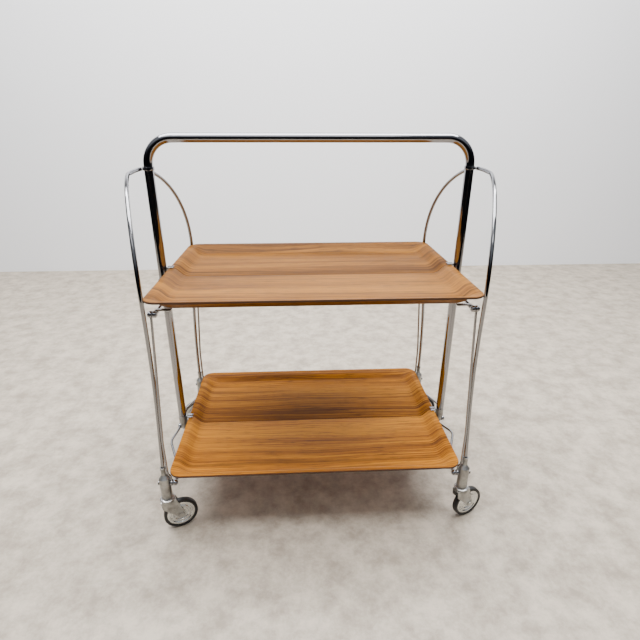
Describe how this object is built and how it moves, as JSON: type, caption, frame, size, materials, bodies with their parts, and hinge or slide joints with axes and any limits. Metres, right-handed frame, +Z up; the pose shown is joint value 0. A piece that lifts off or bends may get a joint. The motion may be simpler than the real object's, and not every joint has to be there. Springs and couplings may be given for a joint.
{
  "type": "folding serving cart",
  "caption": "Folding serving cart: dished wooden trays split along the middle, on a chromed tube and rod frame with an arched handle and swivel casters.",
  "frame": {"origin": "on the floor, under the middle of the cart", "axes": "+X to the right along the handle, +Y towards the rear, +Z up"},
  "size_m": [0.7304, 0.42, 0.784],
  "materials": {
    "chrome_tube": "bright chrome plate over steel tube",
    "chrome_rod": "bright chrome plate over steel rod and wire",
    "cast_metal": "satin grey cast and pressed metal",
    "zinc_steel": "zinc plated steel",
    "upper_plywood": "moulded plywood with a satin teak veneer, paler",
    "lower_plywood": "moulded plywood with a satin teak veneer, darker and warmer",
    "wheel_disc": "grey pressed disc",
    "tyre_rubber": "black solid rubber"
  },
  "bodies": {
    "handle_frame": {"handle_tube": "chrome_tube", "ferrule_left": "cast_metal", "ferrule_right": "cast_metal", "tube_pivot_pins": "zinc_steel"},
    "lower_front": {"lower_front_tray": "lower_plywood", "lower_front_arm_left": "chrome_rod", "lower_front_arm_right": "chrome_rod", "lower_front_corner_pins": "chrome_rod", "lower_front_straps": "zinc_steel", "lower_front_catches": "chrome_rod"},
    "lower_rear": {"lower_rear_tray": "lower_plywood", "lower_rear_arm_left": "chrome_rod", "lower_rear_arm_right": "chrome_rod", "lower_rear_corner_pins": "chrome_rod", "lower_rear_straps": "zinc_steel", "lower_rear_catches": "chrome_rod"},
    "upper_front": {"upper_front_tray": "upper_plywood", "upper_front_arm_left": "chrome_rod", "upper_front_arm_right": "chrome_rod", "upper_front_corner_pins": "chrome_rod", "upper_front_straps": "zinc_steel", "upper_front_catches": "chrome_rod"},
    "upper_rear": {"upper_rear_tray": "upper_plywood", "upper_rear_arm_left": "chrome_rod", "upper_rear_arm_right": "chrome_rod", "upper_rear_corner_pins": "chrome_rod", "upper_rear_straps": "zinc_steel", "upper_rear_catches": "chrome_rod"},
    "front_links": {"front_link_left": "chrome_rod", "front_link_right": "chrome_rod"},
    "rear_links": {"rear_link_left": "chrome_rod", "rear_link_right": "chrome_rod"},
    "front_legs": {"front_leg_left": "chrome_rod", "front_leg_right": "chrome_rod", "front_socket_left": "cast_metal", "front_socket_right": "cast_metal", "front_swivel_cups": "zinc_steel"},
    "rear_legs": {"rear_leg_left": "chrome_rod", "rear_leg_right": "chrome_rod", "rear_socket_left": "cast_metal", "rear_socket_right": "cast_metal", "rear_swivel_cups": "zinc_steel"},
    "collars": {"collar_left": "chrome_rod", "collar_right": "chrome_rod"},
    "front_left_caster": {"front_left_fork": "cast_metal", "front_left_axle": "zinc_steel"},
    "front_left_wheel": {"front_left_hub": "wheel_disc", "front_left_tyre": "tyre_rubber"},
    "front_right_caster": {"front_right_fork": "cast_metal", "front_right_axle": "zinc_steel"},
    "front_right_wheel": {"front_right_hub": "wheel_disc", "front_right_tyre": "tyre_rubber"},
    "rear_left_caster": {"rear_left_fork": "cast_metal", "rear_left_axle": "zinc_steel"},
    "rear_left_wheel": {"rear_left_hub": "wheel_disc", "rear_left_tyre": "tyre_rubber"},
    "rear_right_caster": {"rear_right_fork": "cast_metal", "rear_right_axle": "zinc_steel"},
    "rear_right_wheel": {"rear_right_hub": "wheel_disc", "rear_right_tyre": "tyre_rubber"}
  },
  "joints": [
    {"name": "lower_front_fold", "type": "hinge", "parent": "handle_frame", "child": "lower_front", "pos_m": [0, 0, 0.123], "axis": [1, 0, 0], "range_deg": [0, 65]},
    {"name": "lower_rear_fold", "type": "hinge", "parent": "handle_frame", "child": "lower_rear", "pos_m": [0, 0, 0.123], "axis": [-1, 0, 0], "range_deg": [0, 65]},
    {"name": "upper_front_fold", "type": "hinge", "parent": "handle_frame", "child": "upper_front", "pos_m": [0, 0, 0.495], "axis": [1, 0, 0], "range_deg": [0, 65]},
    {"name": "upper_rear_fold", "type": "hinge", "parent": "handle_frame", "child": "upper_rear", "pos_m": [0, 0, 0.495], "axis": [-1, 0, 0], "range_deg": [0, 65]},
    {"name": "front_link_swing", "type": "hinge", "parent": "lower_front", "child": "front_links", "pos_m": [0, -0.195, 0.123], "axis": [-1, 0, 0], "range_deg": [0, 65]},
    {"name": "rear_link_swing", "type": "hinge", "parent": "lower_rear", "child": "rear_links", "pos_m": [0, 0.195, 0.123], "axis": [1, 0, 0], "range_deg": [0, 65]},
    {"name": "front_leg_swing", "type": "hinge", "parent": "lower_front", "child": "front_legs", "pos_m": [0, -0.195, 0.123], "axis": [-1, 0, 0], "range_deg": [0, 54.48]},
    {"name": "rear_leg_swing", "type": "hinge", "parent": "lower_rear", "child": "rear_legs", "pos_m": [0, 0.195, 0.123], "axis": [1, 0, 0], "range_deg": [0, 54.48]},
    {"name": "collar_slide", "type": "slide", "parent": "handle_frame", "child": "collars", "axis": [0, 0, -1], "range_m": [0, 0.1535]},
    {"name": "front_left_swivel", "type": "hinge", "parent": "front_legs", "child": "front_left_caster", "pos_m": [-0.311, -0.195, 0.079], "axis": [0, 0, 1], "continuous": true},
    {"name": "front_left_roll", "type": "hinge", "parent": "front_left_caster", "child": "front_left_wheel", "pos_m": [-0.29068, -0.18658, 0.035], "axis": [-0.3827, 0.9239, 0], "continuous": true},
    {"name": "front_right_swivel", "type": "hinge", "parent": "front_legs", "child": "front_right_caster", "pos_m": [0.311, -0.195, 0.079], "axis": [0, 0, 1], "continuous": true},
    {"name": "front_right_roll", "type": "hinge", "parent": "front_right_caster", "child": "front_right_wheel", "pos_m": [0.33132, -0.18658, 0.035], "axis": [-0.3827, 0.9239, 0], "continuous": true},
    {"name": "rear_left_swivel", "type": "hinge", "parent": "rear_legs", "child": "rear_left_caster", "pos_m": [-0.311, 0.195, 0.079], "axis": [0, 0, 1], "continuous": true},
    {"name": "rear_left_roll", "type": "hinge", "parent": "rear_left_caster", "child": "rear_left_wheel", "pos_m": [-0.33132, 0.18658, 0.035], "axis": [0.3827, -0.9239, 0], "continuous": true},
    {"name": "rear_right_swivel", "type": "hinge", "parent": "rear_legs", "child": "rear_right_caster", "pos_m": [0.311, 0.195, 0.079], "axis": [0, 0, 1], "continuous": true},
    {"name": "rear_right_roll", "type": "hinge", "parent": "rear_right_caster", "child": "rear_right_wheel", "pos_m": [0.33132, 0.18658, 0.035], "axis": [0.3827, 0.9239, 0], "continuous": true}
  ],
  "couplings": [
    {"joint": "lower_rear_fold", "follows": "lower_front_fold", "ratio": 1},
    {"joint": "upper_front_fold", "follows": "lower_front_fold", "ratio": 1},
    {"joint": "upper_rear_fold", "follows": "lower_front_fold", "ratio": 1},
    {"joint": "front_link_swing", "follows": "lower_front_fold", "ratio": 1},
    {"joint": "rear_link_swing", "follows": "lower_front_fold", "ratio": 1},
    {"joint": "front_leg_swing", "follows": "lower_front_fold", "ratio": 0.83736},
    {"joint": "rear_leg_swing", "follows": "lower_front_fold", "ratio": 0.83736},
    {"joint": "collar_slide", "follows": "lower_front_fold", "m_per_rad": 0.13512}
  ]
}
